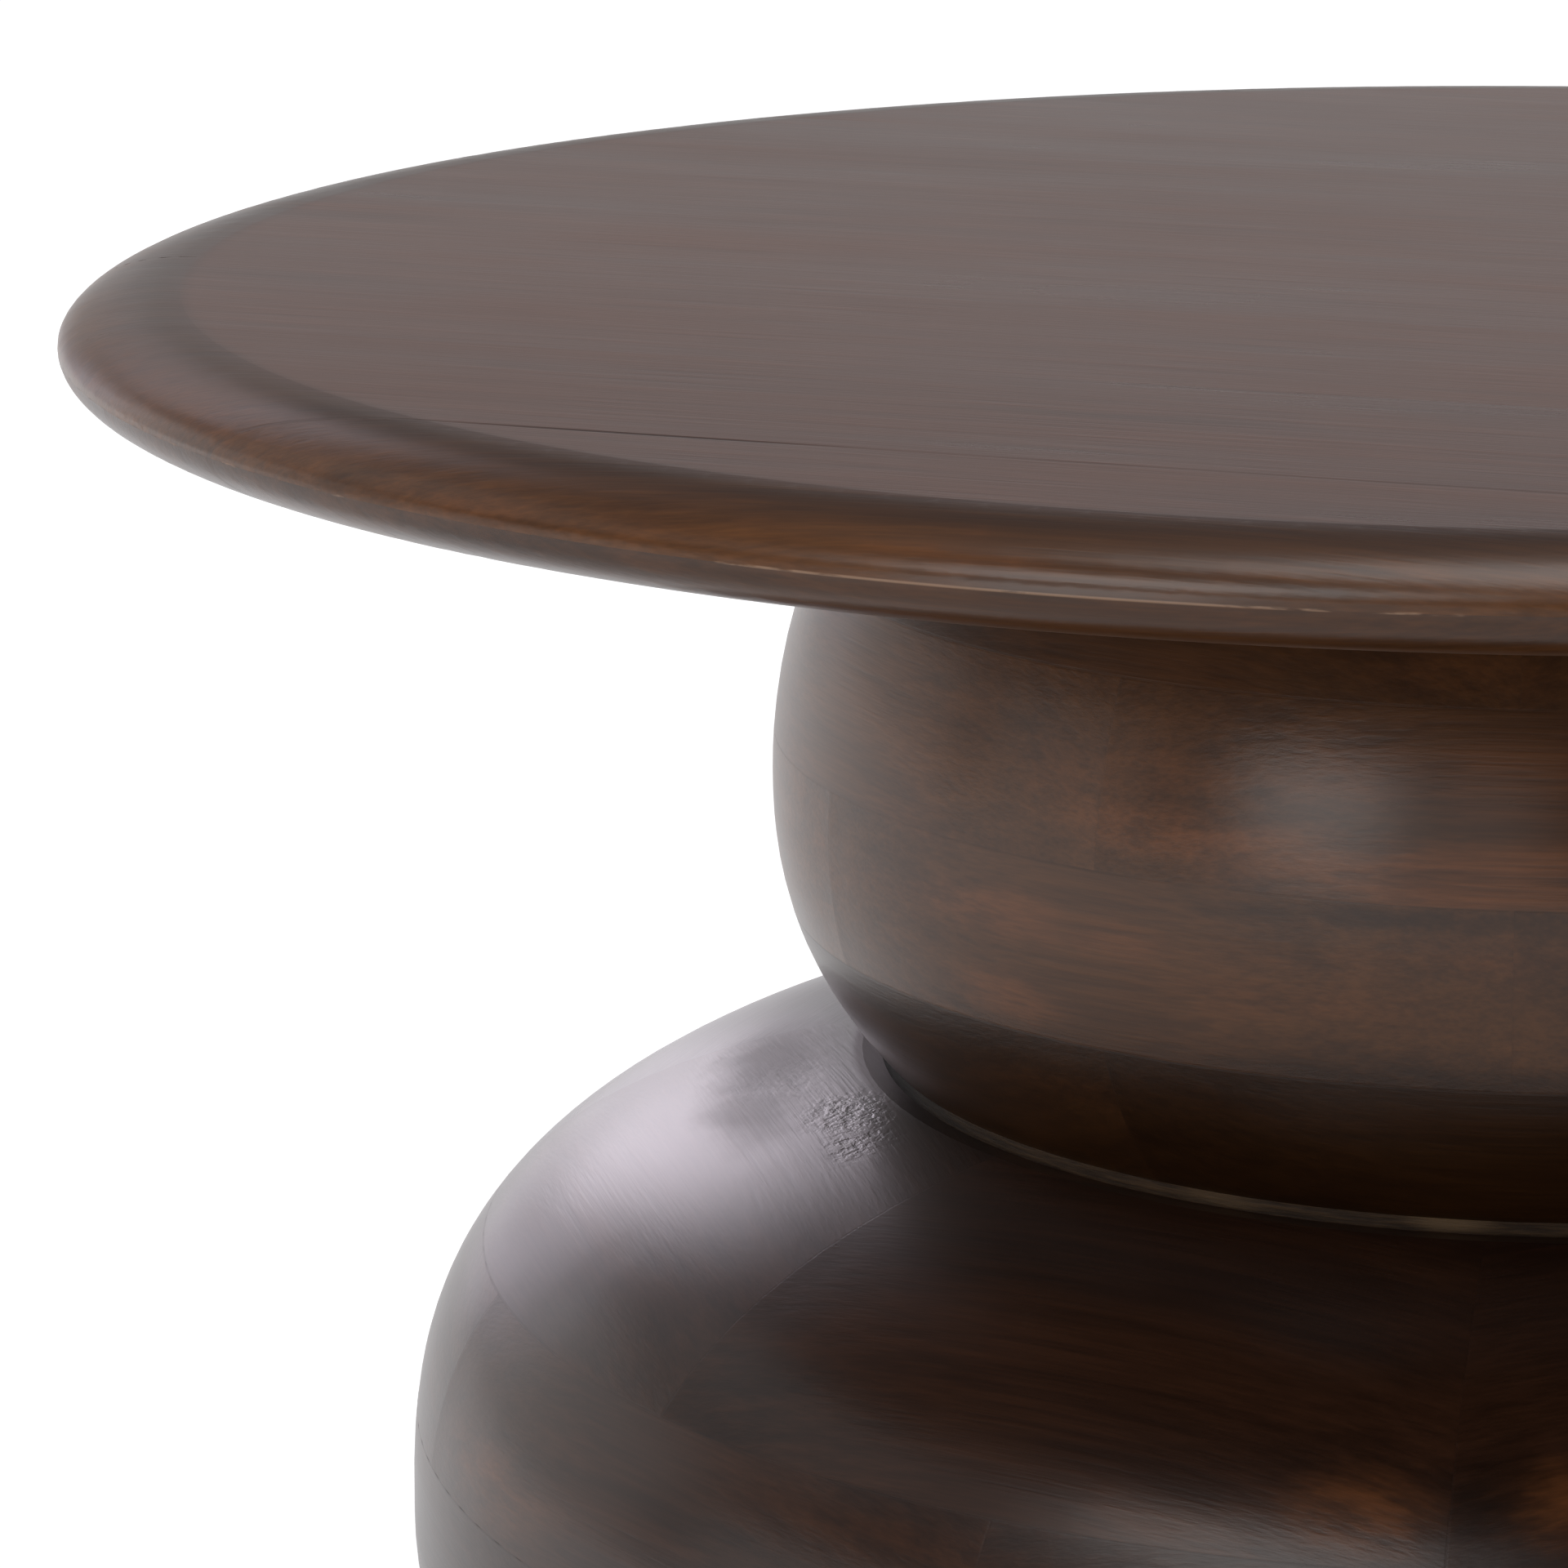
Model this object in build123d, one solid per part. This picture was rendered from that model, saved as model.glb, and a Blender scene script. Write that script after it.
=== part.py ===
from build123d import *
from math import asin, cos, sin
import os

# A round pedestal table: a laminated top on two turned, hollow drums, one above the other.
# Millimetres, +Z up, origin on the floor under the centre of the top.

# ---- Tabletop: two layers of edge-glued boards, rounded together at the rim ----
top_diameter = 762.0
top_layer = 12.0
under_layer = 12.0
rim_reach_above = 31.0
rim_reach_below = 23.5
top_board_count = 8
edge_board_width = 81.0
grain_angle = -15.0

# ---- Both drums are rings of glued wedges. Most rings are one plank thick ----
plank_thickness = 45.0

# ---- Upper drum ----
upper_first_ring = 50.0
upper_last_ring = 38.2
upper_widest_radius = 201.0
upper_widest_drop = 106.0
upper_top_radius = 157.3
upper_foot_radius = 173.0
upper_top_power = 2.01
upper_foot_power = 2.28
upper_wall = 38.0
upper_wedges = 6
upper_joint_angle = -92.0

# ---- Lower drum ----
lower_first_ring = 48.3
lower_last_ring = 40.0
lower_widest_radius = 297.0
lower_widest_drop = 121.6
lower_top_radius = 178.0
lower_foot_radius = 213.0
lower_top_power = 2.92
lower_foot_power = 1.9
lower_wall = 50.0
lower_wedges = 8
lower_joint_angle = -94.0

# ---- Discs that close the drums ----
disc_thickness = 18.0
disc_ledge = 16.0
spacer_thickness = 3.5
spacer_radius = upper_foot_radius  # flush with the upper drum's foot
base_thickness = 18.0
eased_edge = 1.5

# ---- Wood screws, countersunk, driven upwards ----
screw_length = 35.0
screw_radius = 2.25
screw_head_radius = 4.5
screw_head_depth = 2.7
screw_point = 4.0
screw_socket_across = 3.0
screw_socket_depth = 1.8
top_screw_count = 8
top_screw_inset = 38.0

# ---- Bolts and threaded inserts (M8) that join the two drums ----
thread_radius = 4.0
bolt_count = 6
bolt_circle_radius = 100.0
bolt_length = 40.0
bolt_head_across = 13.0
bolt_head_height = 5.3
washer_radius = 8.5
washer_thickness = 1.6
insert_radius = 6.0
insert_length = 15.0
insert_flange_radius = 8.5
insert_flange_thickness = 1.5

# ---- Levelling feet: a swivelling pad on a threaded stem with a hexagon to turn it by ----
leveller_count = 4
leveller_circle_radius = 160.0
pad_radius = 19.0
pad_height = 6.0
pad_rim_ease = 1.0
pad_socket_depth = 3.5
stem_hexagon_across = 14.0
stem_hexagon_height = 4.2
stem_reach = 35.0

# ---- Clearances, on the radius ----
glue_gap = 0.1
screw_gap = 0.05
bolt_gap = 0.5
thread_gap = 0.05

# ---- The drums' layers, from the top down ----
upper_layers = [upper_first_ring, plank_thickness, plank_thickness, upper_last_ring]
lower_layers = [lower_first_ring, plank_thickness, plank_thickness, plank_thickness, lower_last_ring]

# ---- Heights above the floor ----
base_bottom = pad_height + stem_hexagon_height
lower_bottom = base_bottom + base_thickness
lower_top = lower_bottom + sum(lower_layers)
upper_bottom = lower_top + spacer_thickness
upper_top = upper_bottom + sum(upper_layers)
rim_middle = upper_top + under_layer
table_height = rim_middle + top_layer

top_radius = top_diameter / 2

os.makedirs("parts", exist_ok=True)


def save(name, *solids):
    """Write one node, a single solid or a group of separate ones."""
    shape = solids[0] if len(solids) == 1 else Compound(children=list(solids))
    export_step(shape, f"parts/{name}.step")


def turned(outline, arc=360.0):
    """Revolve a closed outline, drawn as (radius, height), about the table's axis."""
    return revolve(Plane.XZ * make_face(outline), axis=Axis.Z, revolution_arc=arc)


def outline_through(*corners):
    """Straight edges through the corners, closed back to the first one."""
    return Polyline(*corners, close=True).edges()


def around(solid, count, radius=0.0, first_angle=0.0):
    """Copies of a solid, evenly spaced on a circle about the table's axis."""
    step = 360.0 / count
    return [Rot(0, 0, first_angle + step * k) * Pos(radius, 0, 0) * solid for k in range(count)]


def cut_by(solid, cutters):
    """The solid less a list of cutters."""
    for cutter in cutters:
        solid = solid - cutter
    return solid


# ---- The drums' outlines ----
# Above and below its widest line a drum follows one quarter of a superellipse each way:
# radius = widest * (1 - (rise / half_height) ** power) ** (1 / power).


class Quarter:
    """One quarter of a drum's outline, from its widest line up or down to its end."""

    curve_points = 9

    def __init__(self, widest_radius, widest_height, end_radius, end_height, power):
        self.radius_0 = widest_radius
        self.height_0 = widest_height
        self.power = power
        self.direction = 1.0 if end_height > widest_height else -1.0
        run = abs(end_height - widest_height)
        self.half_height = run / (1 - (end_radius / widest_radius) ** power) ** (1 / power)

    def share(self, height):
        return abs(height - self.height_0) / self.half_height

    def radius(self, height):
        return self.radius_0 * (1 - self.share(height) ** self.power) ** (1 / self.power)

    def tangent(self, height):
        """Direction of the outline at a height, going up."""
        share = self.share(height)
        fall = self.radius_0 / self.half_height * share ** (self.power - 1)
        fall = fall * (1 - share**self.power) ** (1 / self.power - 1)
        return (-self.direction * fall, 1.0)

    def curve(self, low, high):
        """A smooth edge up the outline, its points evenly spaced in the superellipse's angle."""
        first, last = [asin(self.share(height) ** (self.power / 2)) for height in (low, high)]
        points = []
        for k in range(self.curve_points):
            angle = first + (last - first) * k / (self.curve_points - 1)
            height = self.height_0 + self.direction * self.half_height * sin(angle) ** (2 / self.power)
            points.append((self.radius_0 * cos(angle) ** (2 / self.power), height))
        return Spline(*points, tangents=[self.tangent(low), self.tangent(high)])


class Drum:
    """A turned drum: its two outline quarters, its layers and the wall that its bores leave."""

    def __init__(self, top, layers, widest, drop, top_end, foot, foot_end, powers, wall, wedges):
        self.widest_height = top - drop
        self.above = Quarter(widest, self.widest_height, top_end, top, powers[0])
        self.below = Quarter(widest, self.widest_height, foot_end, foot, powers[1])
        self.wall = wall
        self.wedges = wedges
        self.spans = []
        for thickness in layers:
            self.spans.append((top - thickness, top))
            top = top - thickness

    def radius(self, height):
        quarter = self.above if height > self.widest_height else self.below
        return quarter.radius(height)

    def outside(self, low, high):
        """The drum's outer edges from one height up to another."""
        if low >= self.widest_height:
            return [self.above.curve(low, high)]
        if high <= self.widest_height:
            return [self.below.curve(low, high)]
        return [self.below.curve(low, self.widest_height), self.above.curve(self.widest_height, high)]

    def bore(self, layer):
        """Inner radius of a layer: the drum's narrower face, less the wall."""
        low, high = self.spans[layer]
        return min(self.radius(low), self.radius(high)) - self.wall

    def ring(self, layer, joint_angle, rebate_above=False, rebate_below=False, cutters=()):
        """One layer as glued wedges. A rebate leaves a seat for a disc at its top or bottom."""
        low, high = self.spans[layer]
        bore = self.bore(layer)
        seat = bore + disc_ledge
        inside = [(self.radius(high), high)]
        if rebate_above:
            inside += [(seat, high), (seat, high - disc_thickness), (bore, high - disc_thickness)]
        else:
            inside += [(bore, high)]
        if rebate_below:
            inside += [(bore, low + disc_thickness), (seat, low + disc_thickness), (seat, low)]
        else:
            inside += [(bore, low)]
        inside += [(self.radius(low), low)]
        edges = self.outside(low, high) + list(Polyline(*inside).edges())
        arc = 360.0 / self.wedges
        wedge = cut_by(turned(edges, arc), cutters)
        return around(wedge, self.wedges, first_angle=joint_angle)


upper_drum = Drum(
    top=upper_top,
    layers=upper_layers,
    widest=upper_widest_radius,
    drop=upper_widest_drop,
    top_end=upper_top_radius,
    foot=upper_bottom,
    foot_end=upper_foot_radius,
    powers=(upper_top_power, upper_foot_power),
    wall=upper_wall,
    wedges=upper_wedges,
)
lower_drum = Drum(
    top=lower_top,
    layers=lower_layers,
    widest=lower_widest_radius,
    drop=lower_widest_drop,
    top_end=lower_top_radius,
    foot=base_bottom,
    foot_end=lower_foot_radius,
    powers=(lower_top_power, lower_foot_power),
    wall=lower_wall,
    wedges=lower_wedges,
)
last_upper = len(upper_layers) - 1
last_lower = len(lower_layers) - 1


# ---- Fasteners, each made with its head's face at height 0 and pointing up ----
def wood_screw(gap=0.0):
    """A countersunk screw. With a gap it is the hole that the screw fits."""
    shank = screw_radius + gap
    head = screw_head_radius + gap
    length = screw_length + gap
    outline = outline_through(
        (0, 0),
        (head, 0),
        (shank, screw_head_depth),
        (shank, length - screw_point),
        (0, length),
    )
    return turned(outline)


def socket(across, depth):
    """A hexagon recess, cut up into a face at height 0."""
    return extrude(RegularPolygon(across / 2, 6, major_radius=False), depth)


def hex_bolt():
    head = extrude(RegularPolygon(bolt_head_across / 2, 6, major_radius=False), -bolt_head_height)
    shank = extrude(Circle(thread_radius), bolt_length)
    return head + shank


def washer():
    ring = Circle(washer_radius) - Circle(thread_radius + bolt_gap / 2)
    return extrude(ring, -washer_thickness)


def threaded_insert(gap=0.0):
    """A flanged insert, flush with the face it is screwed into. With a gap it is its hole."""
    flange = extrude(Circle(insert_flange_radius + gap), insert_flange_thickness)
    barrel = extrude(Circle(insert_radius + gap), insert_length)
    return flange + barrel


def bored_insert():
    return threaded_insert() - extrude(Circle(thread_radius + thread_gap), insert_length)


finished_screw = wood_screw() - socket(screw_socket_across, screw_socket_depth)
screw_hole = wood_screw(screw_gap)
insert_hole = threaded_insert(glue_gap)


# ---- Discs inside the drums ----
upper_head_bottom = upper_top - disc_thickness
lower_head_bottom = lower_top - disc_thickness
upper_head_radius = upper_drum.bore(0) + disc_ledge - glue_gap
upper_floor_radius = upper_drum.bore(last_upper) + disc_ledge - glue_gap
lower_head_radius = lower_drum.bore(0) + disc_ledge - glue_gap

top_screw_radius = upper_head_radius - top_screw_inset
top_screw_angle = grain_angle + 180.0 / top_screw_count
top_screws_at = Pos(0, 0, upper_head_bottom)
floor_screw_radius = upper_drum.bore(last_upper) + disc_ledge / 2
floor_screws_at = Pos(0, 0, upper_bottom)
base_screw_radius = (lower_drum.bore(last_lower) + lower_foot_radius) / 2
base_screws_at = Pos(0, 0, base_bottom)

# The ring joints' half-step from one layer to the next, and the layers' first joints.
upper_half_wedge = 180.0 / upper_wedges
lower_half_wedge = 180.0 / lower_wedges


def joint_angles(first, half_wedge, count):
    """Each layer's first joint, staggered by half a wedge like brickwork."""
    return [first + half_wedge * (layer % 2) for layer in range(count)]


upper_joints = joint_angles(upper_joint_angle, upper_half_wedge, len(upper_layers))
lower_joints = joint_angles(lower_joint_angle, lower_half_wedge, len(lower_layers))
floor_screw_angle = upper_joints[last_upper] + upper_half_wedge
base_screw_angle = lower_joints[last_lower] + lower_half_wedge


# ---- Tabletop ----
def rim_arc(reach, rise):
    """The rim's rounding, from the glue line between the layers up or down to the flat face."""
    centre = (top_radius - reach, rim_middle)
    return EllipticalCenterArc(centre, reach, abs(rise), start_angle=0, arc_size=90 if rise > 0 else -90)


def layer_disc(reach, rise):
    """One whole layer of the top before it is divided into boards."""
    face_height = rim_middle + rise
    inside = Polyline((top_radius - reach, face_height), (0, face_height), (0, rim_middle), (top_radius, rim_middle))
    return turned([rim_arc(reach, rise)] + list(inside.edges()))


def strip(low, high):
    """The space that one board takes across the grain."""
    block = Box(top_diameter, high - low, 2 * table_height, align=(Align.CENTER, Align.MIN, Align.CENTER))
    return Rot(0, 0, grain_angle) * Pos(0, low, 0) * block


def boards(name, disc, joints):
    """Divide a layer at its edge joints, from the front to the back."""
    pilots = [top_screws_at * hole for hole in around(screw_hole, top_screw_count, top_screw_radius, top_screw_angle)]
    edges = [-top_radius] + joints + [top_radius]
    for number, (low, high) in enumerate(zip(edges, edges[1:]), start=1):
        save(f"{name}_{number}", cut_by(disc & strip(low, high), pilots))


# The front and back boards of the upper layer keep their width, and the others share the rest.
# The under layer's joints lie half-way between the upper layer's.
board_width = (top_diameter - 2 * edge_board_width) / (top_board_count - 2)
top_joints = [edge_board_width - top_radius + board_width * k for k in range(top_board_count - 1)]
under_joints = [joint + board_width / 2 for joint in top_joints[:-1]]

boards("top_board", layer_disc(rim_reach_above, top_layer), top_joints)
boards("under_board", layer_disc(rim_reach_below, -under_layer), under_joints)


# ---- Upper drum ----
floor_screw_hole = floor_screws_at * Rot(0, 0, upper_half_wedge) * Pos(floor_screw_radius, 0, 0) * screw_hole
for layer, joint_angle in enumerate(upper_joints):
    wedges = upper_drum.ring(
        layer,
        joint_angle,
        rebate_above=layer == 0,
        rebate_below=layer == last_upper,
        cutters=[floor_screw_hole] if layer == last_upper else [],
    )
    save(f"upper_drum_ring_{layer + 1}", *wedges)

top_screw_holes = around(screw_hole, top_screw_count, top_screw_radius, top_screw_angle)
head_blank = extrude(Circle(upper_head_radius), disc_thickness)
save("upper_head_disc", top_screws_at * cut_by(head_blank, top_screw_holes))
save("top_screws", *around(top_screws_at * finished_screw, top_screw_count, top_screw_radius, top_screw_angle))

floor_blank = extrude(Circle(upper_floor_radius), disc_thickness)
floor_blank = cut_by(floor_blank, around(screw_hole, upper_wedges, floor_screw_radius, floor_screw_angle))
bolt_way = extrude(Circle(thread_radius + bolt_gap), disc_thickness)
floor_blank = cut_by(floor_blank, around(insert_hole + bolt_way, bolt_count, bolt_circle_radius))
save("upper_floor_disc", floor_screws_at * floor_blank)
save("floor_disc_screws", *around(floor_screws_at * finished_screw, upper_wedges, floor_screw_radius, floor_screw_angle))


# ---- The thin spacer between the drums, whose edge shows as a line ----
spacer = cut_by(extrude(Circle(spacer_radius), spacer_thickness), around(bolt_way, bolt_count, bolt_circle_radius))
save("spacer_disc", Pos(0, 0, lower_top) * spacer)


# ---- Lower drum ----
base_screw_hole = base_screws_at * Rot(0, 0, lower_half_wedge) * Pos(base_screw_radius, 0, 0) * screw_hole
for layer, joint_angle in enumerate(lower_joints):
    wedges = lower_drum.ring(
        layer,
        joint_angle,
        rebate_above=layer == 0,
        cutters=[base_screw_hole] if layer == last_lower else [],
    )
    save(f"lower_drum_ring_{layer + 1}", *wedges)

lower_head = extrude(Circle(lower_head_radius), disc_thickness)
lower_head = cut_by(lower_head, around(bolt_way, bolt_count, bolt_circle_radius))
save("lower_head_disc", Pos(0, 0, lower_head_bottom) * lower_head)


# ---- The bolts that hold the drums together, put in from inside the lower drum ----
bolts_at = Pos(0, 0, lower_head_bottom)
save("joining_washers", *around(bolts_at * washer(), bolt_count, bolt_circle_radius))
save("joining_bolts", *around(bolts_at * Pos(0, 0, -washer_thickness) * hex_bolt(), bolt_count, bolt_circle_radius))
save("joining_inserts", *around(floor_screws_at * bored_insert(), bolt_count, bolt_circle_radius))


# ---- Base board, screwed under the lower drum ----
base_edge = lower_drum.radius(base_bottom + eased_edge)
base_inside = Polyline(
    (lower_drum.radius(lower_bottom), lower_bottom),
    (0, lower_bottom),
    (0, base_bottom),
    (base_edge - eased_edge, base_bottom),
    (base_edge, base_bottom + eased_edge),
)
base = turned(lower_drum.outside(base_bottom + eased_edge, lower_bottom) + list(base_inside.edges()))
stem_way = extrude(Circle(thread_radius + bolt_gap), base_thickness)
leveller_first_angle = 180.0 / leveller_count
leveller_holes = around(insert_hole + stem_way, leveller_count, leveller_circle_radius, leveller_first_angle)
base_screw_holes = around(screw_hole, lower_wedges, base_screw_radius, base_screw_angle)
base = cut_by(base, [base_screws_at * hole for hole in leveller_holes + base_screw_holes])
save("base_board", base)
save("base_screws", *around(base_screws_at * finished_screw, lower_wedges, base_screw_radius, base_screw_angle))
leveller_inserts = around(bored_insert(), leveller_count, leveller_circle_radius, leveller_first_angle)
save("leveller_inserts", *[base_screws_at * insert for insert in leveller_inserts])


# ---- Levelling feet ----
def pad():
    """The foot's pad, with a socket that the stem's end turns in."""
    socket_radius = thread_radius + thread_gap
    outline = outline_through(
        (0, 0),
        (pad_radius - pad_rim_ease, 0),
        (pad_radius, pad_rim_ease),
        (pad_radius, pad_height - 2 * pad_rim_ease),
        (pad_radius - 2 * pad_rim_ease, pad_height),
        (socket_radius, pad_height),
        (socket_radius, pad_height - pad_socket_depth),
        (0, pad_height - pad_socket_depth),
    )
    return turned(outline)


def stem():
    """A threaded stem: its end in the pad, a hexagon under the base board, then the thread."""
    hexagon = extrude(RegularPolygon(stem_hexagon_across / 2, 6, major_radius=False), stem_hexagon_height)
    rod = extrude(Circle(thread_radius), pad_socket_depth + stem_hexagon_height + stem_reach)
    return Pos(0, 0, pad_height) * (hexagon + Pos(0, 0, -pad_socket_depth) * rod)


pads = around(pad(), leveller_count, leveller_circle_radius, leveller_first_angle)
stems = around(stem(), leveller_count, leveller_circle_radius, leveller_first_angle)
for number, (pad_solid, stem_solid) in enumerate(zip(pads, stems), start=1):
    save(f"leveller_pad_{number}", pad_solid)
    save(f"leveller_stem_{number}", stem_solid)
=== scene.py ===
# %% [markdown]
# # A round table on two turned drums
# The table is a thin round top of glued boards on two hollow wooden drums, one above the other.
# Its pieces come from the CAD model as they are, at their real size, in metres. This file gives
# them their finish: dark stain and satin lacquer on the wood, zinc, brass and nylon underneath.
# The four levelling screws are the only pieces that are modelled anew, with a real thread.

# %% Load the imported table
import math

import bmesh
import bpy
from mathutils import Matrix, Vector


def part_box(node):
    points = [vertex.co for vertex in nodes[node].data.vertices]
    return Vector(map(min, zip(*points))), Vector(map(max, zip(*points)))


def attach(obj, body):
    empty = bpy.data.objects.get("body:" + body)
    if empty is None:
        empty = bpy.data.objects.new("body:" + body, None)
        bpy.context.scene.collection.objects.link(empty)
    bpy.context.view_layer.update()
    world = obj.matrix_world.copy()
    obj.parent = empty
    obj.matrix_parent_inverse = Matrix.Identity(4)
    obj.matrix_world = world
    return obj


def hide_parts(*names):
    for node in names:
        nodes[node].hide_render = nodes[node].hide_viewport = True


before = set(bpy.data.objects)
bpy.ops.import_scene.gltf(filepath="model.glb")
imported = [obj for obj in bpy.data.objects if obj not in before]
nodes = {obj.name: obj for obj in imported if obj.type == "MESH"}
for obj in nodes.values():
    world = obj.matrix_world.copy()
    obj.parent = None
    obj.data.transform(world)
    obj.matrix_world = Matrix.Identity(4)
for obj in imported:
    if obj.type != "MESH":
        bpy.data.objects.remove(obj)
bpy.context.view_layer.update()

# %% [markdown]
# ## Camera
# A long lens from a little above the top. The view is close, so the frame cuts the table off at
# the right and below. A camera looks along its own -Z, with +Y up: its matrix is made of the
# three directions right, up and backwards.

# %% Camera
CAMERA_PLACE = Vector((0.0, -1.7559, 0.7315))
CAMERA_PITCH = 0.23005
CAMERA_TURN = -0.11304
CAMERA_ROLL = -0.00618
LENS_LENGTH = 158.58
SENSOR_WIDTH = 36.0


def camera_matrix(place, pitch, turn, roll):
    """The camera's place in the scene. The angles are in radians, and pitch looks down."""
    ahead = math.cos(pitch)
    forward = Vector((math.sin(turn) * ahead, math.cos(turn) * ahead, -math.sin(pitch)))
    level = Vector((math.cos(turn), -math.sin(turn), 0.0))
    upright = level.cross(forward)
    right = math.cos(roll) * level + math.sin(roll) * upright
    up = -math.sin(roll) * level + math.cos(roll) * upright
    turned = Matrix((right, up, -forward)).transposed()
    return Matrix.Translation(place) @ turned.to_4x4()


camera_data = bpy.data.cameras.new("camera")
camera_data.sensor_fit = "HORIZONTAL"
camera_data.sensor_width = SENSOR_WIDTH
camera_data.lens = LENS_LENGTH
camera = bpy.data.objects.new("camera", camera_data)
bpy.context.scene.collection.objects.link(camera)
camera.matrix_world = camera_matrix(CAMERA_PLACE, CAMERA_PITCH, CAMERA_TURN, CAMERA_ROLL)
bpy.context.scene.camera = camera
bpy.context.scene.view_settings.view_transform = "Standard"
print("camera at", tuple(round(v, 3) for v in CAMERA_PLACE))

# %% [markdown]
# ## Node helpers
# A material is a tree of nodes. These helpers make one node and set its inputs: a socket is
# linked, and a plain number or colour is set.


# %% Node helpers
def add_node(tree, kind, inputs=None, **settings):
    """A node with its settings. Its inputs are given by name or number."""
    node = tree.nodes.new(kind)
    for key, value in settings.items():
        setattr(node, key, value)
    for key, value in (inputs or {}).items():
        if isinstance(value, bpy.types.NodeSocket):
            tree.links.new(value, node.inputs[key])
        else:
            node.inputs[key].default_value = value
    return node


def calc(tree, operation, *values):
    """One step of arithmetic on numbers."""
    return add_node(tree, "ShaderNodeMath", dict(enumerate(values)), operation=operation).outputs[0]


def calc_vector(tree, operation, *values):
    """One step of arithmetic on vectors."""
    node = add_node(tree, "ShaderNodeVectorMath", dict(enumerate(values)), operation=operation)
    return node.outputs["Value"] if operation == "LENGTH" else node.outputs["Vector"]


def noise(tree, vector, stretch, detail=2.0, roughness=0.5, output="Fac"):
    """Smooth noise from 0 to 1. stretch is its waves per metre along X, Y and Z."""
    scaled = calc_vector(tree, "MULTIPLY", vector, stretch)
    inputs = {"Vector": scaled, "Scale": 1.0, "Detail": detail, "Roughness": roughness}
    return add_node(tree, "ShaderNodeTexNoise", inputs).outputs[output]


def band(tree, value, low, high, to_low=0.0, to_high=1.0):
    """A smooth step: to_low where the value is under low, to_high where it is over high."""
    inputs = {"Value": value, "From Min": low, "From Max": high, "To Min": to_low, "To Max": to_high}
    step = add_node(tree, "ShaderNodeMapRange", inputs, interpolation_type="SMOOTHSTEP")
    return step.outputs["Result"]


def mix_colour(tree, share, first, second, kind="MIX"):
    """Two colours mixed. A share of 0 is the first one."""
    node = add_node(tree, "ShaderNodeMix", data_type="RGBA", blend_type=kind)
    for number, value in ((0, share), (6, first), (7, second)):
        if isinstance(value, bpy.types.NodeSocket):
            tree.links.new(value, node.inputs[number])
        elif number == 0:
            node.inputs[0].default_value = value
        else:
            node.inputs[number].default_value = (*value, 1.0)
    return node.outputs[2]


def greyed(tree, value):
    """A number as a grey, to multiply a colour by."""
    return add_node(tree, "ShaderNodeCombineColor", {0: value, 1: value, 2: value}).outputs[0]


def new_material(name):
    """An empty material, with its tree and its shader."""
    material = bpy.data.materials.new(name)
    material.use_nodes = True
    tree = material.node_tree
    return material, tree, tree.nodes["Principled BSDF"]


def object_place(tree):
    """A point's place on the whole table, in metres."""
    return add_node(tree, "ShaderNodeTexCoord").outputs["Object"]


def parts_of(tree, vector):
    """A vector's three numbers, as outputs called X, Y and Z."""
    return add_node(tree, "ShaderNodeSeparateXYZ", {0: vector}).outputs


def distance_from_axis(tree, place):
    """How far a place is from the table's own axis, in metres."""
    return calc_vector(tree, "LENGTH", calc_vector(tree, "MULTIPLY", place, (1.0, 1.0, 0.0)))


def turned_about(tree, place, angle):
    """The place after a turn about the table's axis. angle is in radians."""
    node = add_node(tree, "ShaderNodeVectorRotate", {"Vector": place}, rotation_type="Z_AXIS")
    if isinstance(angle, bpy.types.NodeSocket):
        tree.links.new(angle, node.inputs["Angle"])
    else:
        node.inputs["Angle"].default_value = angle
    return node.outputs["Vector"]


def add_relief(tree, shader, height, distance, strength=1.0):
    """Gives a surface a fine relief. distance is how high a height of 1 stands, in metres."""
    inputs = {"Height": height, "Strength": strength, "Distance": distance}
    bump = add_node(tree, "ShaderNodeBump", inputs)
    tree.links.new(bump.outputs["Normal"], shader.inputs["Normal"])


# %% [markdown]
# ## Floor and background
# The floor is pale matt paper. To the camera it is white, and it keeps the soft shadow that the
# table throws: the camera sees a weaker copy of the lit paper on top of an even glow, and the
# glow reaches full white a few steps away from the table. The table itself stands on a light
# table: the paper glows a little from below, and that fills the undersides. The lacquer mirrors
# the grey of the room and not the white backdrop, because a real studio is dim behind its lamps.

# %% Floor and world
FLOOR_COLOUR = (0.90, 0.89, 0.90)
FLOOR_HALF_WIDTH = 40.0
SHADOW_SHARE = 0.32
GLOW_AT_TABLE = 0.88
GLOW_FAR_OFF = 1.0
PAPER_BOUNCE = (0.50, 0.495, 0.50)
LIGHT_TABLE_GLOW = 0.36
LEFT_PAPER_GLOW = 0.72
BACK_PAPER_GLOW = 0.74
FAR_PAPER_GLOW = 1.0
PAPER_ROUGHNESS = 0.9
PAPER_TINT = (1.0, 0.99, 1.0, 1.0)
PURE_WHITE = (1.0, 1.0, 1.0, 1.0)
# where a change starts and ends: along Y, along X, and twice in metres from the table's axis
BACK_PAPER = (-0.3, 0.4)
LEFT_PAPER = (-1.3, -0.5)
FAR_PAPER = (0.9, 3.2)
WHITE_PAPER = (0.6, 2.6)
WORLD_GREY = (0.115, 0.112, 0.118)


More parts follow.
